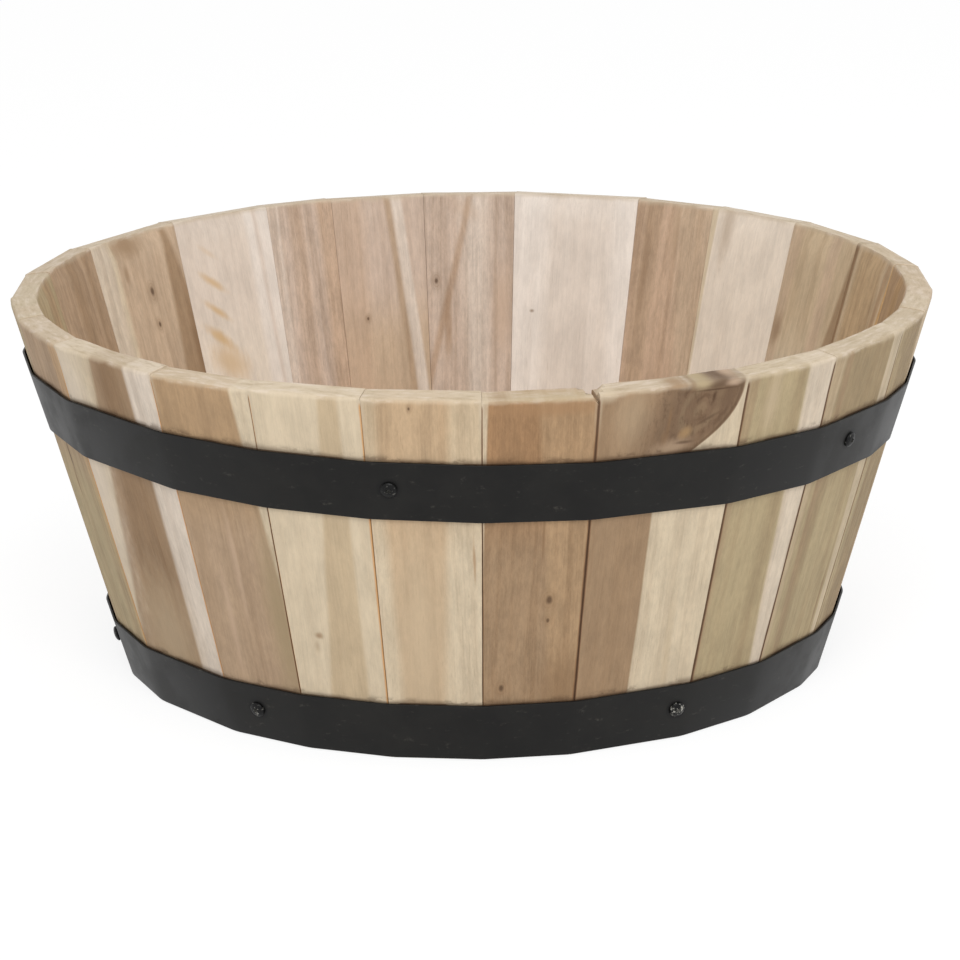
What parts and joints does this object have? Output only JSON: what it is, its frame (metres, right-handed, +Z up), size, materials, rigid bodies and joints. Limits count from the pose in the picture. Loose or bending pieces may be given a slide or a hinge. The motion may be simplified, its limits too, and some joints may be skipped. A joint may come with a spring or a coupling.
{
  "type": "half barrel planter",
  "caption": "Low round half-barrel planter: bevelled wooden staves, flared towards the rim and held by black steel hoops, round a drained wooden bottom.",
  "frame": {"origin": "centre of the foot, on the ground", "axes": "+Z up, -Y the front, +X to the right seen from the front"},
  "size_m": [0.6055, 0.6063, 0.25],
  "materials": {
    "stave_pale": "bare sanded sapwood, matt",
    "stave_tan": "bare sanded wood of mixed sapwood and heartwood, matt",
    "stave_brown": "bare sanded heartwood, matt",
    "bottom_wood": "bare sawn wood, matt",
    "dowel_wood": "bare turned wood",
    "hoop_steel": "satin black paint on strip steel",
    "rivet_steel": "satin black paint",
    "screw_steel": "black coating, worn to bare steel in the recess"
  },
  "bodies": {
    "root": {"stave_01": "stave_brown", "stave_02": "stave_brown", "stave_03": "stave_tan", "stave_04": "stave_brown", "stave_05": "stave_tan", "stave_06": "stave_tan", "stave_07": "stave_tan", "stave_08": "stave_tan", "stave_09": "stave_brown", "stave_10": "stave_pale", "stave_11": "stave_brown", "stave_12": "stave_pale", "stave_13": "stave_brown", "stave_14": "stave_tan", "stave_15": "stave_brown", "stave_16": "stave_pale", "stave_17": "stave_tan", "stave_18": "stave_brown", "stave_19": "stave_tan", "stave_20": "stave_tan", "stave_21": "stave_tan", "stave_22": "stave_tan", "stave_23": "stave_brown", "stave_24": "stave_pale", "stave_25": "stave_tan", "bottom_board_1": "bottom_wood", "bottom_board_2": "bottom_wood", "bottom_board_3": "bottom_wood", "bottom_board_4": "bottom_wood", "bottom_board_5": "bottom_wood", "bottom_dowels": "dowel_wood", "upper_hoop": "hoop_steel", "lower_hoop": "hoop_steel", "hoop_rivets": "rivet_steel", "upper_hoop_screws": "screw_steel", "lower_hoop_screws": "screw_steel"}
  },
  "joints": []
}
